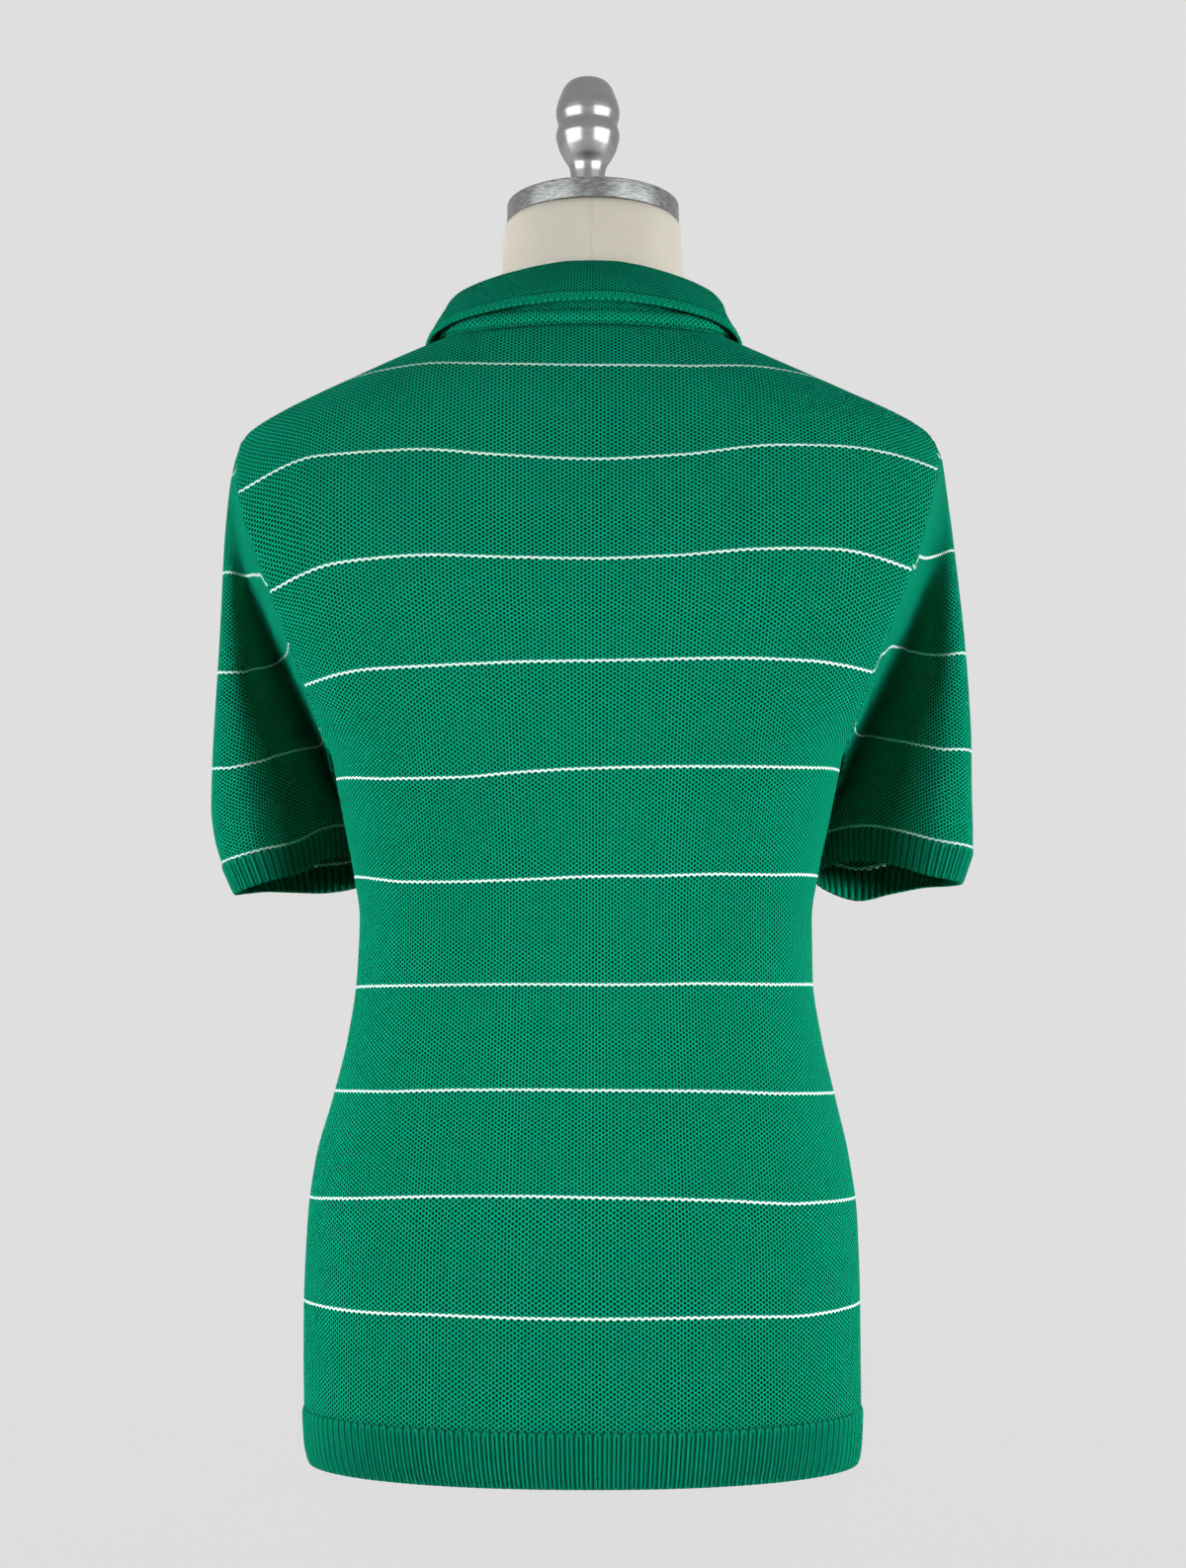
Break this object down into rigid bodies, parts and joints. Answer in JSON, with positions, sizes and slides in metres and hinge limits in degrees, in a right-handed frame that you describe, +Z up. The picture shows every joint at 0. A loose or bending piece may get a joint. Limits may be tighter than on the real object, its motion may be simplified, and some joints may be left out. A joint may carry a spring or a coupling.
{
  "type": "polo shirt on a dress form",
  "caption": "Short-sleeved knitted polo shirt with a turned-down collar, buttoned placket and ribbed cuffs and hem, on a limbless dress form that stands on its flat base.",
  "frame": {"origin": "middle of the dress form's flat base, on the surface it stands on", "axes": "+Z up through the neck, -Y towards the shirt's front, +X towards the wearer's left"},
  "size_m": [0.4869, 0.2429, 0.889],
  "materials": {
    "knit": "fine mesh knit, matte, with thin pale stripes",
    "rib": "ribbed knit, matte",
    "button": "satin",
    "form_cloth": "plain woven cover, matte",
    "cap_metal": "brushed",
    "finial_metal": "polished"
  },
  "bodies": {
    "root": {"back": "knit", "front": "knit", "placket_under": "knit", "placket_upper": "knit", "button_top": "button", "button_middle": "button", "button_low": "button", "hem_back": "rib", "hem_front": "rib", "sleeve_left": "knit", "sleeve_right": "knit", "cuff_left": "rib", "cuff_right": "rib", "collar": "rib", "neck_binding": "rib", "form_torso": "form_cloth", "form_cap": "cap_metal", "form_finial": "finial_metal"}
  },
  "joints": []
}
